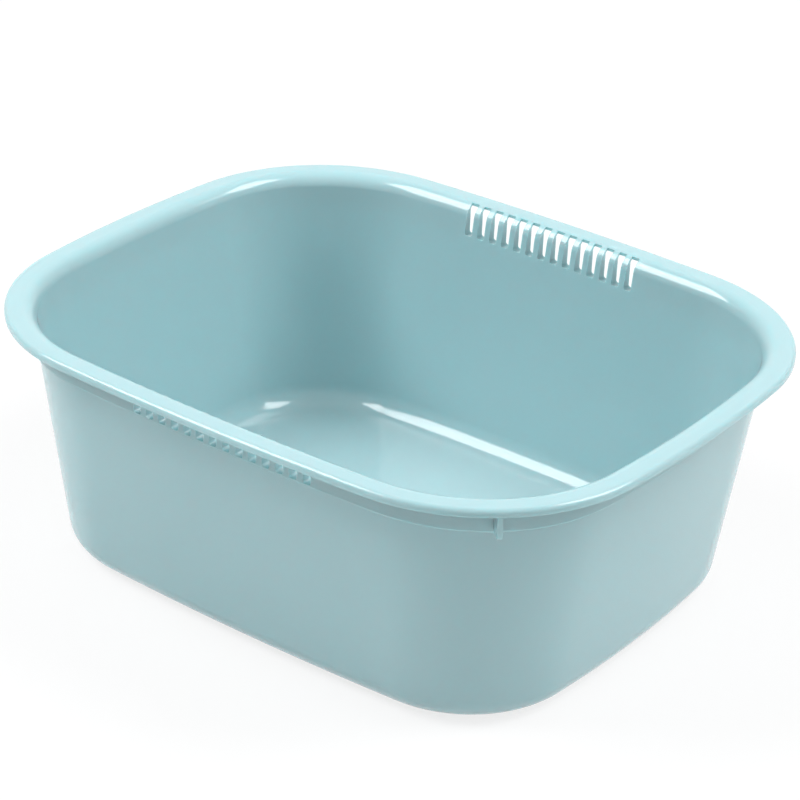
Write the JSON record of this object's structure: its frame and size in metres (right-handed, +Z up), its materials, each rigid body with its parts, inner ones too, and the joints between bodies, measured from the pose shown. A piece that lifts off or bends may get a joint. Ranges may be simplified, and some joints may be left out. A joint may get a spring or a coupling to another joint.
{
  "type": "washing up bowl",
  "caption": "Rectangular washing up bowl with rounded corners, sloping walls, a wide rim with a turned-down lip and rows of drain slots under the rim.",
  "frame": {"origin": "middle of the flat underside, on the surface that the bowl stands on", "axes": "+X along the length, towards the end that carries the corner lug; +Y across the width, away from that lug; +Z up out of the basin"},
  "size_m": [0.38, 0.312, 0.14],
  "materials": {
    "moulding": "semi-gloss injection-moulded polypropylene, pale blue-green, faintly translucent"
  },
  "bodies": {
    "root": {"bowl": "moulding"}
  },
  "joints": []
}
